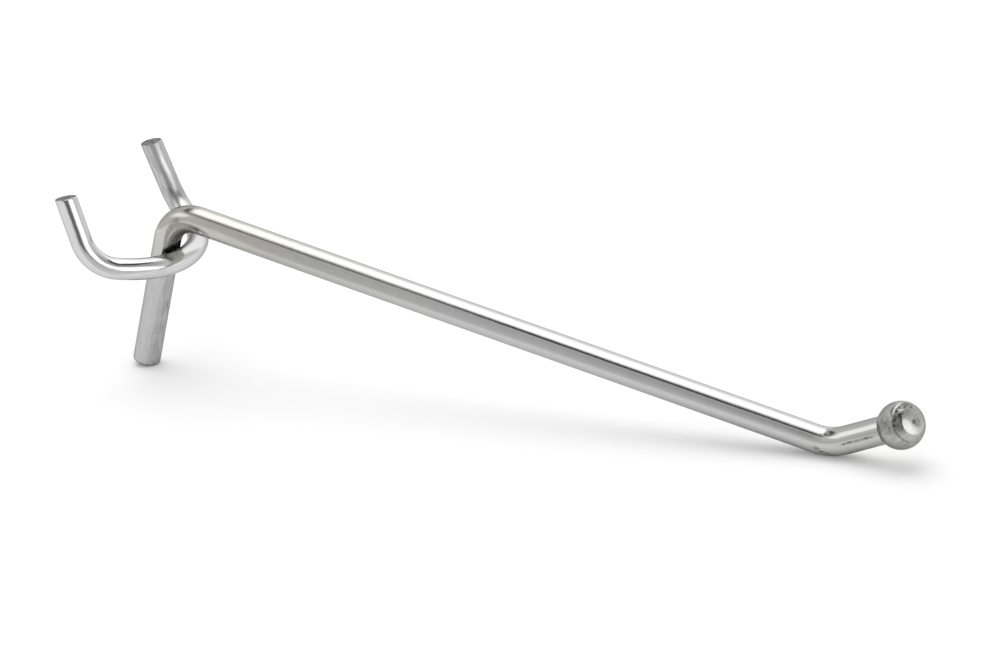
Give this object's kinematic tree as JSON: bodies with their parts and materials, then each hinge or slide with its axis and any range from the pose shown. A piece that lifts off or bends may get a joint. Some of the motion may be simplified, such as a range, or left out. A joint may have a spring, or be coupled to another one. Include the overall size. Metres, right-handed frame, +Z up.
{
  "type": "pegboard hook",
  "caption": "Bent-wire pegboard hook: a long straight arm with an upturned ball tip, and a thinner prong wire welded across its leg that hooks in behind the board.",
  "frame": {"origin": "on the back of the leg, where it touches the board's front face, at the height of the board's holes", "axes": "+Y into the board, so the arm points along -Y; +Z up with the hook fitted; X along the row of holes"},
  "size_m": [0.028, 0.1215, 0.0352],
  "materials": {
    "zinc_plated_steel": "bright zinc plating over drawn wire, with light draw lines, press marks and scuffs"
  },
  "bodies": {
    "root": {"arm_wire": "zinc_plated_steel", "prong_wire": "zinc_plated_steel"}
  },
  "joints": []
}
